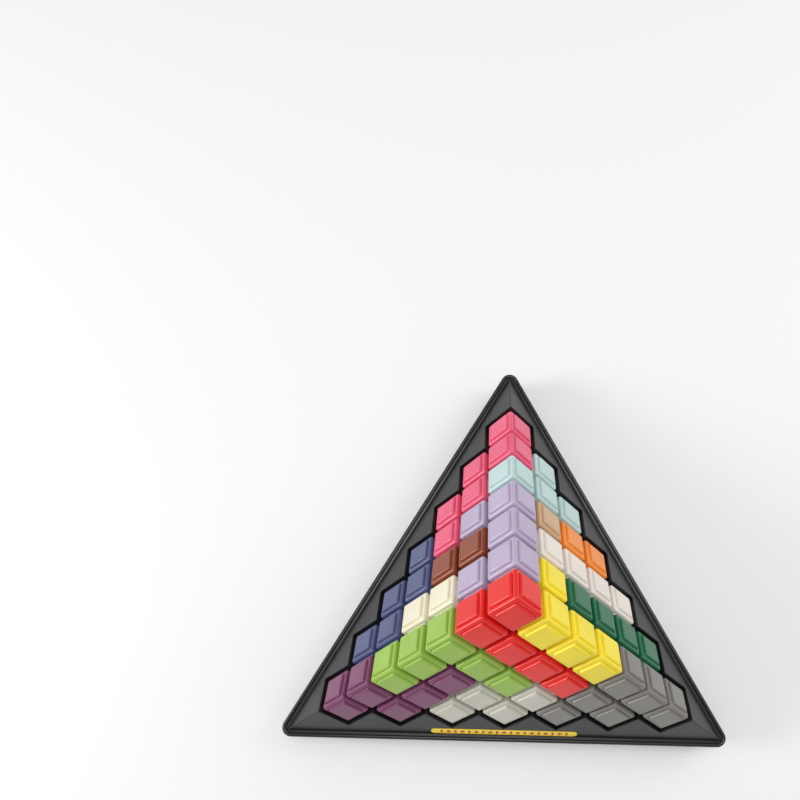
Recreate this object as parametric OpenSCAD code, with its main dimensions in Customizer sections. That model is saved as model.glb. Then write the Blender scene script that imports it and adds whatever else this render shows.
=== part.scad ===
// Pyramid block-packing puzzle: a three-sided pyramid of cube cells standing on one
// corner in a triangular tray. Eighteen moulded blocks, each several cells joined in
// one plane, fill it. A cell's place is [right, left, far]: how many cells it lies
// from the top cell along the three ridges that run down from it.

/* [Cells] */
// Edge of one cell, centre to centre of neighbouring cells (mm)
pitch = 20; // [12:0.5:30]
// Clearance on each side of a cell (mm)
clear = 0.05; // [0.02:0.01:0.3]
// How far the square panel on each cell face stands proud of its border (mm)
panel_h = 0.6; // [0.3:0.1:1.2]
// Width of the raised square panel (mm)
panel_w = 12.6; // [8:0.2:16]
// Chamfer on the edges of each cell (mm)
edge_c = 1.4; // [0.6:0.1:3]

/* [Mouldings] */
// Wall thickness of a block's shell (mm)
shell_t = 1.6; // [1.2:0.1:2.4]
// Thickness of the closing plate at a block's back (mm)
back_t = 2.0; // [1.4:0.1:3]
// Height of the locating ribs on the closing plate (mm)
rib_h = 1.5; // [1:0.1:3]
// Clearance around the locating ribs (mm)
rib_clear = 0.1; // [0.05:0.01:0.3]

/* [Tray] */
// Wall thickness of the tray moulding (mm)
tray_t = 2.0; // [1.6:0.1:3]
// Where the sloped margins end, in cell edges counted down the three ridges
slope_end = 8.48; // [8.3:0.02:8.8]
// Size of the tray's outer triangle, in the same count
rim_end = 8.95; // [8.8:0.05:9.6]
// Step from the end of the slope down to the rim (mm)
rim_step = 0.8; // [0.4:0.1:2]
// Height of the outer side wall (mm)
wall_h = 21; // [16:0.5:30]
// Radius of the tray's three upright corners (mm)
corner_r = 5; // [2:0.5:10]

/* [Label] */
// Length of the label strip, end to end (mm)
label_l = 80; // [40:1:110]
// Width of the label strip (mm)
label_w = 4.6; // [3:0.1:8]
// Thickness of the label strip (mm)
label_t = 0.3; // [0.1:0.05:0.6]
// Where the label's centre line lies, in cell edges counted down the three ridges
label_at = 8.24; // [8.1:0.01:8.4]

/* [Hidden] */
$fn = 48;
core_w = pitch - 2 * clear - 2 * panel_h;
link_w = core_w - 2 * edge_c;
cav_w = core_w - 2 * shell_t;
link_wall = 1.5;
cav_link_w = link_w - 2 * link_wall;
apex_z = slope_end * pitch / sqrt(3) + rim_step + wall_h;
rim_z = wall_h;
rim_r = rim_end * pitch * sqrt(2) / sqrt(3);
slope_r = slope_end * pitch * sqrt(2) / sqrt(3);
inner_r = rim_r - 2 * tray_t;
centre_y = -(rim_r / 2 - corner_r) / 2;
tilt = 180 - atan(sqrt(2));
side_cells = 7;
far_away = 12 * pitch;

red_cells = [[0, 0, 0], [0, 1, 0], [1, 1, 0], [2, 1, 0], [3, 1, 0]];
lavender_cells = [[0, 0, 1], [0, 0, 2], [0, 0, 3], [0, 1, 1], [0, 1, 3]];
pink_cells = [[0, 0, 5], [0, 0, 6], [0, 1, 4], [0, 1, 5], [0, 2, 3], [0, 2, 4]];
navy_cells = [[0, 3, 2], [0, 3, 3], [0, 4, 1], [0, 4, 2], [0, 5, 1]];
lime_cells = [[0, 2, 0], [1, 2, 0], [2, 2, 0], [0, 3, 0], [0, 4, 0]];
purple_cells = [[1, 3, 0], [1, 4, 0], [0, 5, 0], [1, 5, 0], [0, 6, 0]];
silver_cells = [[3, 2, 0], [2, 3, 0], [3, 3, 0], [2, 4, 0]];
grey_cells = [[4, 0, 0], [5, 0, 0], [6, 0, 0], [4, 1, 0], [5, 1, 0], [4, 2, 0]];
cyan_cells = [[0, 0, 4], [1, 0, 4], [1, 0, 5], [2, 0, 4]];
yellow_cells = [[1, 0, 0], [1, 0, 1], [2, 0, 0], [3, 0, 0]];
green_cells = [[2, 0, 1], [3, 0, 1], [4, 0, 1], [5, 0, 1]];
white_cells = [[1, 0, 2], [2, 0, 2], [3, 0, 2], [4, 0, 2]];
orange_cells = [[2, 0, 3], [3, 0, 3], [2, 1, 3]];
tan_cells = [[1, 0, 3], [1, 1, 3], [1, 1, 4], [1, 2, 3]];
brown_cells = [[0, 1, 2], [0, 2, 2], [1, 2, 2], [1, 3, 2]];
cream_cells = [[0, 2, 1], [1, 2, 1], [0, 3, 1], [1, 3, 1], [2, 3, 1], [1, 4, 1]];
inner_four_cells = [[1, 1, 2], [2, 1, 2], [3, 1, 2], [2, 2, 2]];
inner_six_cells = [[1, 1, 1], [2, 1, 1], [3, 1, 1], [4, 1, 1], [2, 2, 1], [3, 2, 1]];

red_c = [0.82, 0.10, 0.08];
lavender_c = [0.66, 0.58, 0.75];
pink_c = [0.93, 0.30, 0.45];
navy_c = [0.17, 0.18, 0.36];
lime_c = [0.50, 0.68, 0.24];
purple_c = [0.38, 0.15, 0.28];
silver_c = [0.72, 0.71, 0.66];
grey_c = [0.42, 0.41, 0.39];
cyan_c = [0.67, 0.80, 0.79];
yellow_c = [0.93, 0.82, 0.18];
green_c = [0.10, 0.34, 0.22];
white_c = [0.90, 0.85, 0.80];
orange_c = [0.95, 0.45, 0.15];
tan_c = [0.74, 0.56, 0.40];
brown_c = [0.42, 0.20, 0.13];
cream_c = [0.94, 0.89, 0.78];
inner_four_c = [0.30, 0.52, 0.72];
inner_six_c = [0.62, 0.78, 0.55];

// ---- placing -------------------------------------------------------------

// Lattice frame: x, y and z run down the right, left and far ridges from the apex.
module lattice() {
  translate([0, centre_y, apex_z])
    rotate([-tilt, 0, 0])
      rotate([0, 0, 45])
        children();
}

function mid(q) = [(q[0] + 0.5) * pitch, (q[1] + 0.5) * pitch, (q[2] + 0.5) * pitch];

function along(n, inside, across) = [for (k = [0:2]) k == n ? inside : across];

// ---- one cell ------------------------------------------------------------

module bevelled_square(w, c) {
  h = w / 2;
  polygon([
    [-h + c, -h], [h - c, -h], [h, -h + c], [h, h - c],
    [h - c, h], [-h + c, h], [-h, h - c], [-h, -h + c]
  ]);
}

module bevelled_bar(w, c) {
  linear_extrude(w, center = true)
    bevelled_square(w, c);
}

// A cube with every edge chamfered
module cell_core() {
  intersection() {
    bevelled_bar(core_w, edge_c);
    rotate([90, 0, 0]) bevelled_bar(core_w, edge_c);
    rotate([0, 90, 0]) bevelled_bar(core_w, edge_c);
  }
}

// The core with a raised square panel on all six faces
module cell() {
  reach = pitch - 2 * clear;
  cell_core();
  for (n = [0:2])
    cube(along(n, reach, panel_w), center = true);
}

// ---- blocks --------------------------------------------------------------

// Bars joining the neighbouring cells of one block, w thick
module links(cells, w) {
  for (i = [0:len(cells) - 1])
    for (j = [i:len(cells) - 1])
      if (norm(cells[i] - cells[j]) == 1)
        translate((mid(cells[i]) + mid(cells[j])) / 2)
          cube([for (k = [0:2]) cells[i][k] == cells[j][k] ? w : pitch], center = true);
}

module block_outer(cells) {
  for (q = cells)
    translate(mid(q)) cell();
  links(cells, link_w);
}

// The slab of space behind the parting face; n is the axis across the block
module behind(cells, n) {
  start = (cells[0][n] + 1) * pitch - clear - panel_h - back_t;
  translate([for (k = [0:2]) k == n ? start : -pitch])
    cube([for (k = [0:2]) k == n ? 2 * pitch : 10 * pitch]);
}

module block_shell(cells, n) {
  difference() {
    block_outer(cells);
    for (q = cells)
      translate(mid(q)) cube(cav_w, center = true);
    links(cells, cav_link_w);
    for (q = cells)
      translate(mid(q) + along(n, pitch / 2, 0)) cube(along(n, pitch, cav_w), center = true);
    behind(cells, n);
  }
}

module block_back(cells, n) {
  rib_w = cav_w - 2 * rib_clear;
  rib_in = rib_w - 2 * shell_t;
  rib_top = pitch / 2 - clear - panel_h - back_t - rib_h;
  intersection() {
    block_outer(cells);
    behind(cells, n);
  }
  for (q = cells)
    translate(mid(q) + along(n, rib_top + rib_h / 2, 0))
      difference() {
        cube(along(n, rib_h, rib_w), center = true);
        cube(along(n, 2 * rib_h, rib_in), center = true);
      }
}

// ---- tray ----------------------------------------------------------------

module triangle(r) {
  polygon([for (k = [0:2]) [r * cos(90 + 120 * k), r * sin(90 + 120 * k)]]);
}

module round_triangle(r, rc) {
  c = r - 2 * rc;
  polygon([
    for (k = [0:2])
      for (s = [-60:12:60])
        let (t = 90 + 120 * k)
          [c * cos(t) + rc * cos(t + s), c * sin(t) + rc * sin(t + s)]
  ]);
}

// Every cell place of the pyramid, open to the top, with its clearance
module cell_space() {
  for (i = [0:side_cells - 1])
    for (j = [0:side_cells - 1 - i])
      translate([-pitch, -pitch, -pitch])
        cube([
          (i + 2) * pitch + clear,
          (j + 2) * pitch + clear,
          (side_cells + 1 - i - j) * pitch + clear
        ]);
}

// The space below the pits, one wall thickness away from them
module under_space() {
  w = tray_t + clear;
  for (i = [0:side_cells])
    for (j = [0:side_cells - i])
      translate([i * pitch + w, j * pitch + w, (side_cells - i - j) * pitch + w])
        cube(far_away);
}

module tray() {
  color([0.05, 0.05, 0.06])
    difference() {
      union() {
        intersection() {
          lattice() cube(far_away);
          translate([0, centre_y, rim_z])
            linear_extrude(apex_z - rim_z) triangle(slope_r);
        }
        translate([0, centre_y, 0])
          linear_extrude(rim_z) round_triangle(rim_r, corner_r);
      }
      lattice() cell_space();
      intersection() {
        lattice() under_space();
        translate([0, centre_y, -1])
          linear_extrude(apex_z) round_triangle(inner_r, corner_r - tray_t);
      }
    }
}

module label() {
  half = label_at * pitch / 2;
  color([0.90, 0.72, 0.12])
    lattice()
      translate([half, half, -label_t])
        rotate([0, 0, -45])
          linear_extrude(label_t) {
            square([label_l - label_w, label_w], center = true);
            for (s = [-1, 1])
              translate([s * (label_l - label_w) / 2, 0]) circle(label_w / 2);
          }
}

// ---- the blocks by colour ------------------------------------------------

module red_shell() { color(red_c) lattice() block_shell(red_cells, 2); }
module red_back() { color(red_c) lattice() block_back(red_cells, 2); }
module lavender_shell() { color(lavender_c) lattice() block_shell(lavender_cells, 0); }
module lavender_back() { color(lavender_c) lattice() block_back(lavender_cells, 0); }
module pink_shell() { color(pink_c) lattice() block_shell(pink_cells, 0); }
module pink_back() { color(pink_c) lattice() block_back(pink_cells, 0); }
module navy_shell() { color(navy_c) lattice() block_shell(navy_cells, 0); }
module navy_back() { color(navy_c) lattice() block_back(navy_cells, 0); }
module lime_shell() { color(lime_c) lattice() block_shell(lime_cells, 2); }
module lime_back() { color(lime_c) lattice() block_back(lime_cells, 2); }
module purple_shell() { color(purple_c) lattice() block_shell(purple_cells, 2); }
module purple_back() { color(purple_c) lattice() block_back(purple_cells, 2); }
module silver_shell() { color(silver_c) lattice() block_shell(silver_cells, 2); }
module silver_back() { color(silver_c) lattice() block_back(silver_cells, 2); }
module grey_shell() { color(grey_c) lattice() block_shell(grey_cells, 2); }
module grey_back() { color(grey_c) lattice() block_back(grey_cells, 2); }
module cyan_shell() { color(cyan_c) lattice() block_shell(cyan_cells, 1); }
module cyan_back() { color(cyan_c) lattice() block_back(cyan_cells, 1); }
module yellow_shell() { color(yellow_c) lattice() block_shell(yellow_cells, 1); }
module yellow_back() { color(yellow_c) lattice() block_back(yellow_cells, 1); }
module green_shell() { color(green_c) lattice() block_shell(green_cells, 1); }
module green_back() { color(green_c) lattice() block_back(green_cells, 1); }
module white_shell() { color(white_c) lattice() block_shell(white_cells, 1); }
module white_back() { color(white_c) lattice() block_back(white_cells, 1); }
module orange_shell() { color(orange_c) lattice() block_shell(orange_cells, 2); }
module orange_back() { color(orange_c) lattice() block_back(orange_cells, 2); }
module tan_shell() { color(tan_c) lattice() block_shell(tan_cells, 0); }
module tan_back() { color(tan_c) lattice() block_back(tan_cells, 0); }
module brown_shell() { color(brown_c) lattice() block_shell(brown_cells, 2); }
module brown_back() { color(brown_c) lattice() block_back(brown_cells, 2); }
module cream_shell() { color(cream_c) lattice() block_shell(cream_cells, 2); }
module cream_back() { color(cream_c) lattice() block_back(cream_cells, 2); }
module inner_four_shell() { color(inner_four_c) lattice() block_shell(inner_four_cells, 2); }
module inner_four_back() { color(inner_four_c) lattice() block_back(inner_four_cells, 2); }
module inner_six_shell() { color(inner_six_c) lattice() block_shell(inner_six_cells, 2); }
module inner_six_back() { color(inner_six_c) lattice() block_back(inner_six_cells, 2); }

// ---- drawing -------------------------------------------------------------

tray();
label();
red_shell();
red_back();
lavender_shell();
lavender_back();
pink_shell();
pink_back();
navy_shell();
navy_back();
lime_shell();
lime_back();
purple_shell();
purple_back();
silver_shell();
silver_back();
grey_shell();
grey_back();
cyan_shell();
cyan_back();
yellow_shell();
yellow_back();
green_shell();
green_back();
white_shell();
white_back();
orange_shell();
orange_back();
tan_shell();
tan_back();
brown_shell();
brown_back();
cream_shell();
cream_back();
inner_four_shell();
inner_four_back();
inner_six_shell();
inner_six_back();
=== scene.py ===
import bpy
import bmesh
import math
from mathutils import Matrix, Vector


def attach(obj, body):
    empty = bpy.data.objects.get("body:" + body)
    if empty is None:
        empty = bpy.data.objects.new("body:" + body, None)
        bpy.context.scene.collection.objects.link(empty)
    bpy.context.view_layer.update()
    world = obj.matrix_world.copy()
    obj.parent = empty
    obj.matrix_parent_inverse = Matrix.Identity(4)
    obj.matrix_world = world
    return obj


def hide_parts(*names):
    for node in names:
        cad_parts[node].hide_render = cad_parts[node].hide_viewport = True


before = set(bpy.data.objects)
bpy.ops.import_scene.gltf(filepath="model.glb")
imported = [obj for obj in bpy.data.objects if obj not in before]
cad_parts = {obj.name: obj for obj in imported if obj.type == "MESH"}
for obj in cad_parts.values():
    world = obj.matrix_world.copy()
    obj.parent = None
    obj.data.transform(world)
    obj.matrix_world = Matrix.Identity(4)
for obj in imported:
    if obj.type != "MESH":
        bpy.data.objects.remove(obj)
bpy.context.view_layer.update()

MM = 0.001

# ---------------------------------------------------------------- sizes in mm
# the same as in the CAD model
PITCH = 20.0
CLEAR = 0.05
BACK_T = 2.0          # closing plate at a block's back
SLOPE_END = 8.48      # in cell edges down the three ridges
RIM_END = 8.95        # in cell edges down the three ridges
RIM_STEP = 0.8
WALL_H = 21.0
CORNER_R = 5.0
LABEL_AT = 8.24       # in cell edges down the three ridges
LABEL_T = 0.3

# finer or deeper than in the CAD model
PANEL_H = 1.1         # height of a panel over the face round it
EDGE_R = 1.3          # rounding of a cell's edges
GROOVE = 4.2          # depth of the groove between two joined cells
SEAM_HALF = 0.03      # half the gap between a shell and its closing plate

# worked out from those
APEX_Z = SLOPE_END * PITCH / math.sqrt(3) + RIM_STEP + WALL_H
RIM_R = RIM_END * PITCH * math.sqrt(2 / 3)
CENTRE_Y = -(RIM_R / 2 - CORNER_R) / 2
FACE = PITCH / 2 - CLEAR - PANEL_H    # from a cell's centre to its faces
FLAT = FACE - EDGE_R                  # half width of the flat part of a face

# grid lines across a face: the start, two steps and the middle of each rounded edge
EDGE_LINES = [FLAT + EDGE_R * math.tan(math.radians(a)) for a in (0, 15, 30, 45)]
LINES = [-w for w in reversed(EDGE_LINES)] + EDGE_LINES
MIDDLE = len(EDGE_LINES) - 1          # index of the grid square inside the rounded edges

# raised panel and the channel round it, from the outside in to the flat top:
# half width, share of the panel's height, corner radius
PANEL = [
    (7.05, 0.00, 1.00),
    (6.93, -0.30, 0.98),
    (6.68, -0.32, 0.92),
    (6.56, 0.10, 0.90),
    (6.46, 0.48, 0.86),
    (6.30, 0.70, 0.82),
    (6.08, 0.89, 0.76),
    (5.76, 1.00, 0.68),
]
PANEL_STEPS = 4       # pieces in each corner of a panel

# ridge directions: x, y and z of the lattice run down the right, left and far ridges
right = Vector((math.sqrt(1 / 2), -math.sqrt(1 / 6), -math.sqrt(1 / 3)))
left = Vector((-math.sqrt(1 / 2), -math.sqrt(1 / 6), -math.sqrt(1 / 3)))
far = Vector((0.0, math.sqrt(2 / 3), -math.sqrt(1 / 3)))
LATTICE = Matrix((
    (right.x, left.x, far.x, 0.0),
    (right.y, left.y, far.y, CENTRE_Y),
    (right.z, left.z, far.z, APEX_Z),
    (0.0, 0.0, 0.0, 1.0),
))
TO_ROW = Matrix.Scale(MM, 4) @ LATTICE    # lattice in mm to the shared frame in metres
TO_LATTICE = TO_ROW.inverted()

# each block's colour; the last two blocks are hidden, so theirs are a guess
COLOURS = {
    "red": (0.80, 0.02, 0.015),
    "lavender": (0.48, 0.40, 0.56),
    "pink": (0.80, 0.10, 0.20),
    "navy": (0.075, 0.09, 0.21),
    "lime": (0.31, 0.50, 0.07),
    "purple": (0.20, 0.05, 0.13),
    "silver": (0.60, 0.58, 0.50),
    "grey": (0.21, 0.20, 0.18),
    "cyan": (0.50, 0.66, 0.65),
    "yellow": (0.94, 0.76, 0.03),
    "green": (0.01, 0.14, 0.06),
    "white": (0.82, 0.75, 0.68),
    "orange": (0.88, 0.27, 0.04),
    "tan": (0.60, 0.38, 0.22),
    "brown": (0.25, 0.05, 0.015),
    "cream": (0.83, 0.78, 0.60),
    "inner_four": (0.10, 0.30, 0.55),
    "inner_six": (0.32, 0.60, 0.30),
}
TRAY_BLACK = (0.008, 0.008, 0.009)
LABEL_YELLOW = (0.98, 0.70, 0.04)
MARK_RED = (0.55, 0.03, 0.02)


# ---------------------------------------------------------------- mesh helpers
def loose(name, bm):
    """An object made from a bmesh, which is freed."""
    me = bpy.data.meshes.new(name)
    bm.to_mesh(me)
    bm.free()
    ob = bpy.data.objects.new(name, me)
    bpy.context.scene.collection.objects.link(ob)
    return ob


def new_piece(name, bm, body, *nodes):
    """A visible piece that rides on a body and stands in for the CAD nodes given."""
    ob = loose(name, bm)
    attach(ob, body)
    if nodes:
        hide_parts(*nodes)
    return ob


def shade(ob, angle=32.0):
    """Smooth shading, but sharp where faces meet at more than the angle (degrees)."""
    me = ob.data
    for f in me.polygons:
        f.use_smooth = True
    me.set_sharp_from_angle(angle=math.radians(angle))
    mod = ob.modifiers.new("even_normals", "WEIGHTED_NORMAL")
    mod.keep_sharp = True
    mod.weight = 80


def rounded_square(half, radius, steps):
    """Four lists of points, one for each corner, going round anticlockwise."""
    out = []
    c = half - radius
    for k, (sx, sy) in enumerate(((-1, -1), (1, -1), (1, 1), (-1, 1))):
        start = math.pi + k * math.pi / 2
        out.append([
            (sx * c + radius * math.cos(start + i * math.pi / 2 / steps),
             sy * c + radius * math.sin(start + i * math.pi / 2 / steps))
            for i in range(steps + 1)
        ])
    return out


def round_triangle(r, radius, steps=6):
    """Points round a triangle whose corners lie r from the centre before they are rounded (mm)."""
    out = []
    for k in range(3):
        corner = math.radians(90 + 120 * k)
        for i in range(steps + 1):
            turn = corner + math.radians(-60 + 120 * i / steps)
            out.append((
                (r - 2 * radius) * math.cos(corner) + radius * math.cos(turn),
                (r - 2 * radius) * math.sin(corner) + radius * math.sin(turn),
            ))
    return out


# ---------------------------------------------------------------- one cell
def on_face(k, s, a, b, proud=0.0):
    """A point on side s of a cell across axis k, at a and b along the next two axes."""
    p = [0.0, 0.0, 0.0]
    p[k], p[(k + 1) % 3], p[(k + 2) % 3] = s * (FACE + proud), a, b
    return p


def rounded(p):
    """Moves a point of the sharp cube to the cube with rounded edges."""
    inner = [max(-FLAT, min(FLAT, c)) for c in p]
    outwards = Vector([c - d for c, d in zip(p, inner)]).normalized()
    return Vector(inner) + outwards * EDGE_R


def add_face(bm, verts, s):
    """Adds a face that looks outwards from side s."""
    bm.faces.new(verts if s > 0 else verts[::-1])


def add_panel(bm, k, s, window):
    """Fills the flat middle of a cell's side with a raised panel and the channel round it."""
    rings = []
    for half, rise, radius in PANEL:
        rings.append([
            [bm.verts.new(on_face(k, s, a, b, rise * PANEL_H)) for a, b in corner]
            for corner in rounded_square(half, radius, PANEL_STEPS)
        ])
    outer = rings[0]
    mid = PANEL_STEPS // 2
    for c in range(4):
        d = (c + 1) % 4
        add_face(bm, [window[c], window[d]] + outer[d][mid::-1] + outer[c][:mid - 1:-1], s)
    loops = [[w for corner in ring for w in corner] for ring in rings]
    for a, b in zip(loops, loops[1:]):
        for i in range(len(a)):
            j = (i + 1) % len(a)
            add_face(bm, [a[i], a[j], b[j], b[i]], s)
    add_face(bm, loops[-1], s)


def add_side(bm, k, s, joined):
    """One side of a cell with its rounded edges. A side that is joined has no panel."""
    grid = {}
    for i, a in enumerate(LINES):
        for j, b in enumerate(LINES):
            grid[i, j] = bm.verts.new(rounded(on_face(k, s, a, b)))
    squares = range(len(LINES) - 1)
    for i in squares:
        for j in squares:
            if (i, j) != (MIDDLE, MIDDLE):
                add_face(bm, [grid[i, j], grid[i + 1, j], grid[i + 1, j + 1], grid[i, j + 1]], s)
    m, n = MIDDLE, MIDDLE + 1
    window = [grid[m, m], grid[n, m], grid[n, n], grid[m, n]]
    if joined:
        add_face(bm, window, s)
    else:
        add_panel(bm, k, s, window)


def cell_mesh(cell, joined):
    """A rounded cube. joined holds the sides that meet the same block, as (axis, sign)."""
    bm = bmesh.new()
    for k in range(3):
        for s in (-1, 1):
            add_side(bm, k, s, (k, s) in joined)
    bmesh.ops.remove_doubles(bm, verts=bm.verts, dist=1e-5)
    centre = Vector([(q + 0.5) * PITCH for q in cell])
    bmesh.ops.translate(bm, verts=bm.verts, vec=centre)
    return bm


# ---------------------------------------------------------------- joining and cutting
def bar_mesh(mid, half):
    """A closed box that reaches half its size to each side of mid."""
    bm = bmesh.new()
    bmesh.ops.create_cube(bm, size=1.0)
    for w in bm.verts:
        w.co = Vector([m - h if c < 0 else m + h for c, m, h in zip(w.co, mid, half)])
    return bm


def union(name, parts):
    """Joins closed meshes into one closed mesh and returns it as a bmesh."""
    base = loose(name, parts[0])
    others = [loose(name + "_tool", p) for p in parts[1:]]
    for o in others:
        mod = base.modifiers.new("join", "BOOLEAN")
        mod.operation = "UNION"
        mod.solver = "MANIFOLD"
        mod.object = o
    bpy.context.view_layer.update()
    depsgraph = bpy.context.evaluated_depsgraph_get()
    me = bpy.data.meshes.new_from_object(base.evaluated_get(depsgraph))
    bm = bmesh.new()
    bm.from_mesh(me)
    bpy.data.meshes.remove(me)
    for o in [base] + others:
        me = o.data
        bpy.data.objects.remove(o)
        bpy.data.meshes.remove(me)
    return bm


def cut(bm, axis, level, keep_below):
    """Keeps one side of a plane across a lattice axis and closes the cut."""
    normal = Vector([1.0 if k == axis else 0.0 for k in range(3)])
    got = bmesh.ops.bisect_plane(
        bm, geom=bm.verts[:] + bm.edges[:] + bm.faces[:], plane_co=normal * level, plane_no=normal,
        clear_outer=keep_below, clear_inner=not keep_below,
    )
    edges = [e for e in got["geom_cut"] if isinstance(e, bmesh.types.BMEdge)]
    bmesh.ops.triangle_fill(bm, edges=edges, use_beauty=True, use_dissolve=True)
    bmesh.ops.recalc_face_normals(bm, faces=bm.faces)


# ---------------------------------------------------------------- materials
DRIFT_SCALE = 45.0      # slow change of colour across a block
GLOSS_SCALE = 240.0     # patches of slightly different gloss
GRAIN_SCALE = 2600.0    # grain of the mould


def noise(nt, coord, scale, detail):
    node = nt.nodes.new("ShaderNodeTexNoise")
    node.inputs["Scale"].default_value = scale
    node.inputs["Detail"].default_value = detail
    nt.links.new(coord.outputs["Object"], node.inputs["Vector"])
    return node


def plastic(name, colour, rough=0.22, grain=0.00002, shift=0.05):
    """Satin moulded plastic: a slow colour drift, a fine moulded grain and slightly uneven gloss."""
    mat = bpy.data.materials.new(name)
    mat.use_nodes = True
    nt = mat.node_tree
    link = nt.links.new
    bsdf = nt.nodes["Principled BSDF"]
    bsdf.inputs["IOR"].default_value = 1.5
    coord = nt.nodes.new("ShaderNodeTexCoord")

    ramp = nt.nodes.new("ShaderNodeValToRGB")
    dark = tuple(c * (1 - shift) for c in colour)
    light = tuple(min(1.0, c * (1 + shift) + 0.004) for c in colour)
    ramp.color_ramp.elements[0].position = 0.32
    ramp.color_ramp.elements[0].color = (*dark, 1.0)
    ramp.color_ramp.elements[1].position = 0.68
    ramp.color_ramp.elements[1].color = (*light, 1.0)
    drift = noise(nt, coord, DRIFT_SCALE, 3.0)
    link(drift.outputs["Fac"], ramp.inputs["Fac"])
    link(ramp.outputs["Color"], bsdf.inputs["Base Color"])

    gloss = nt.nodes.new("ShaderNodeMapRange")
    gloss.inputs["To Min"].default_value = rough - 0.05
    gloss.inputs["To Max"].default_value = rough + 0.06
    patches = noise(nt, coord, GLOSS_SCALE, 4.0)
    link(patches.outputs["Fac"], gloss.inputs["Value"])
    link(gloss.outputs["Result"], bsdf.inputs["Roughness"])

    bump = nt.nodes.new("ShaderNodeBump")
    bump.inputs["Strength"].default_value = 0.35
    bump.inputs["Distance"].default_value = grain
    fine = noise(nt, coord, GRAIN_SCALE, 2.0)
    link(fine.outputs["Fac"], bump.inputs["Height"])
    link(bump.outputs["Normal"], bsdf.inputs["Normal"])
    return mat


# ---------------------------------------------------------------- blocks
def in_lattice(node):
    """A CAD node's points, as distances along the right, left and far ridges (mm)."""
    return [TO_LATTICE @ w.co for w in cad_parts[node].data.vertices]


def layout(name):
    """The cells that a block fills, as (right, left, far), and the axis across the block."""
    cells = sorted({tuple(math.floor(c / PITCH) for c in p) for p in in_lattice(name + "_shell")})
    plate = in_lattice(name + "_back")
    depth = [max(p[k] for p in plate) - min(p[k] for p in plate) for k in range(3)]
    return cells, depth.index(min(depth))


def moved(cell, *steps):
    """The cell that lies the given (axis, count) steps away."""
    out = list(cell)
    for k, count in steps:
        out[k] += count
    return tuple(out)


def neighbours(cells, q):
    """The sides of cell q that meet another of the cells, as (axis, sign)."""
    return {(k, s) for k in range(3) for s in (-1, 1) if moved(q, (k, s)) in cells}


PLUG_OVER = 1.0       # how far a plug reaches into the cells round it
PLUG_UNDER = 0.4      # how much thinner than the bars a plug is, on each side


def cores(cells, axis):
    """Bars that join neighbouring cells, and plugs that close the middle of every square of four."""
    u, v = [k for k in range(3) if k != axis]
    out = []
    for q in cells:
        for k in (u, v):
            n = moved(q, (k, 1))
            if n in cells:
                mid = [(a + b + 1) * PITCH / 2 for a, b in zip(q, n)]
                half = [FACE - GROOVE] * 3
                half[k] = PITCH / 2
                out.append(bar_mesh(mid, half))
    for q in cells:
        if all(moved(q, (u, du), (v, dv)) in cells for du in (0, 1) for dv in (0, 1)):
            mid = [0.0, 0.0, 0.0]
            mid[u], mid[v], mid[axis] = (q[u] + 1) * PITCH, (q[v] + 1) * PITCH, (q[axis] + 0.5) * PITCH
            half = [PITCH / 2 - FACE + GROOVE + PLUG_OVER] * 3
            half[axis] = FACE - GROOVE - PLUG_UNDER
            out.append(bar_mesh(mid, half))
    return out


for name, colour in COLOURS.items():
    cells, axis = layout(name)
    parts = [cell_mesh(q, neighbours(cells, q)) for q in cells] + cores(cells, axis)
    whole = union(name, parts)
    seam = (cells[0][axis] + 1) * PITCH - CLEAR - PANEL_H - BACK_T
    plate = whole.copy()
    cut(whole, axis, seam - SEAM_HALF, True)
    cut(plate, axis, seam + SEAM_HALF, False)
    mat = plastic(name + "_moulding", colour)
    for bm, node in ((whole, name + "_shell"), (plate, name + "_back")):
        bm.transform(TO_ROW)
        ob = new_piece("block_" + node, bm, name, node)
        ob.data.materials.append(mat)
        shade(ob)

# ---------------------------------------------------------------- tray
TRAY_EDGE = 0.45      # softening of the tray's edges (mm)

tray_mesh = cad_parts["tray"].data.copy()
bm = bmesh.new()
bm.from_mesh(tray_mesh)
bmesh.ops.remove_doubles(bm, verts=bm.verts, dist=1e-6)
bmesh.ops.dissolve_limit(bm, angle_limit=math.radians(0.3), verts=bm.verts, edges=bm.edges)
tray = new_piece("tray_moulding", bm, "tray", "tray")
tray_plastic = plastic("tray_black", TRAY_BLACK, rough=0.30, grain=0.00003, shift=0.25)
tray.data.materials.clear()
tray.data.materials.append(tray_plastic)
soft = tray.modifiers.new("soft_edges", "BEVEL")
soft.width = TRAY_EDGE * MM
soft.segments = 2
soft.limit_method = "ANGLE"
soft.angle_limit = math.radians(30)
shade(tray, 40.0)

# raised lip round the rim: how far in from the outer wall, and height over the rim (mm)
LIP = [
    (0.25, -0.20),
    (0.25, 0.25),
    (0.45, 0.58),
    (0.85, 0.82),
    (1.35, 0.88),
    (1.85, 0.74),
    (2.20, 0.42),
    (2.35, -0.20),
]
bm = bmesh.new()
loops = []
for inset, rise in LIP:
    ring = round_triangle(RIM_R - 2 * inset, CORNER_R - inset)
    level = WALL_H + rise
    loops.append([bm.verts.new((x * MM, (y + CENTRE_Y) * MM, level * MM)) for x, y in ring])
for a, b in zip(loops, loops[1:] + loops[:1]):
    for i in range(len(a)):
        j = (i + 1) % len(a)
        bm.faces.new((a[i], a[j], b[j], b[i]))
bmesh.ops.recalc_face_normals(bm, faces=bm.faces)
lip = new_piece("tray_lip", bm, "tray")
lip.data.materials.append(tray_plastic)
shade(lip, 50.0)

# ---------------------------------------------------------------- label
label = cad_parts["label"]
label.data.materials.clear()
label.data.materials.append(plastic("label_yellow", LABEL_YELLOW, rough=0.25))

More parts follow.
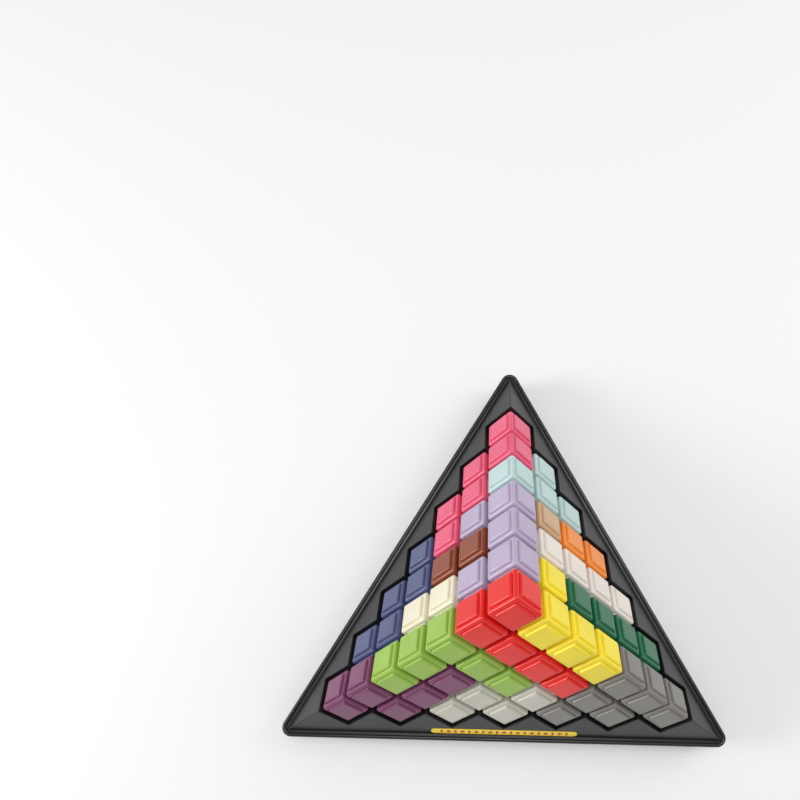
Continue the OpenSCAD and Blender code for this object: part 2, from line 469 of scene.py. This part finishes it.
# a row of plain marks, bar and diamond by turns
MARKS_A_SIDE = 9
MARK_STEP = 3.8
MARK_T = 0.06
MARK_SUNK = 0.02      # how far a mark's foot lies in the label
MARK_HALF = 1.4       # half a mark's height
BAR_HALF = 0.6        # half a bar's width
DIAMOND = [(0.0, -MARK_HALF), (MARK_HALF, 0.0), (0.0, MARK_HALF), (-MARK_HALF, 0.0)]
BAR = [(-BAR_HALF, -MARK_HALF), (BAR_HALF, -MARK_HALF), (BAR_HALF, MARK_HALF), (-BAR_HALF, MARK_HALF)]
on_label = (
    TO_ROW
    @ Matrix.Translation((LABEL_AT * PITCH / 2, LABEL_AT * PITCH / 2, -LABEL_T))
    @ Matrix.Rotation(math.radians(-45), 4, "Z")
)
bm = bmesh.new()
for i in range(-MARKS_A_SIDE, MARKS_A_SIDE + 1):
    outline = BAR if i % 2 else DIAMOND
    top = [bm.verts.new((i * MARK_STEP + x, y, -MARK_T)) for x, y in outline]
    foot = [bm.verts.new((i * MARK_STEP + x, y, MARK_SUNK)) for x, y in outline]
    bm.faces.new(top)
    bm.faces.new(foot[::-1])
    for a in range(4):
        b = (a + 1) % 4
        bm.faces.new((top[b], top[a], foot[a], foot[b]))
bmesh.ops.recalc_face_normals(bm, faces=bm.faces)
bm.transform(on_label)
marks = new_piece("label_marks", bm, "tray")
marks.data.materials.append(plastic("label_red", MARK_RED, rough=0.3))

# ---------------------------------------------------------------- stage, in metres and watts
FLOOR_HALF = 4.0
WORLD_STRENGTH = 0.42
AIM = (0.0, 0.0, 0.05)

bm = bmesh.new()
bmesh.ops.create_grid(bm, x_segments=1, y_segments=1, size=FLOOR_HALF)
floor = loose("floor", bm)
pale = bpy.data.materials.new("floor_pale")
pale.use_nodes = True
pale.node_tree.nodes["Principled BSDF"].inputs["Base Color"].default_value = (0.9, 0.9, 0.9, 1.0)
pale.node_tree.nodes["Principled BSDF"].inputs["Roughness"].default_value = 0.6
floor.data.materials.append(pale)

world = bpy.data.worlds.new("studio")
bpy.context.scene.world = world
world.use_nodes = True
world.node_tree.nodes["Background"].inputs["Color"].default_value = (1.0, 1.0, 1.0, 1.0)
world.node_tree.nodes["Background"].inputs["Strength"].default_value = WORLD_STRENGTH


def soft_box(name, place, side, power):
    """A square area light that points at the object."""
    light = bpy.data.lights.new(name, "AREA")
    light.shape = "SQUARE"
    light.size = side
    light.energy = power
    ob = bpy.data.objects.new(name, light)
    bpy.context.scene.collection.objects.link(ob)
    ob.location = place
    ob.rotation_euler = (Vector(AIM) - Vector(place)).to_track_quat("-Z", "Y").to_euler()


soft_box("key", place=(-1.1, -0.1, 0.5), side=0.45, power=6.5)
soft_box("top", place=(0.0, 0.1, 1.6), side=0.7, power=8.5)
soft_box("fill", place=(1.0, 0.5, 0.7), side=0.8, power=4.7)

# ---------------------------------------------------------------- camera
CAMERA_FROM_APEX = Vector((-17.0, -18.5, 270.0))   # mm
CAMERA_TILT = 8.8       # degrees off looking straight down
CAMERA_TURN = 1.4       # degrees
LENS = 29.0             # mm
SHIFT_X = -0.094        # shares of the picture's width
SHIFT_Y = 0.177

cam_data = bpy.data.cameras.new("camera")
cam_data.sensor_width = 36.0
cam_data.lens = LENS
cam_data.shift_x = SHIFT_X
cam_data.shift_y = SHIFT_Y
cam_data.clip_start = 0.01
camera = bpy.data.objects.new("camera", cam_data)
bpy.context.scene.collection.objects.link(camera)
bpy.context.scene.camera = camera
camera.location = (Vector((0.0, CENTRE_Y, APEX_Z)) + CAMERA_FROM_APEX) * MM
camera.rotation_euler = (math.radians(CAMERA_TILT), 0.0, math.radians(CAMERA_TURN))
bpy.context.scene.view_settings.view_transform = "Standard"
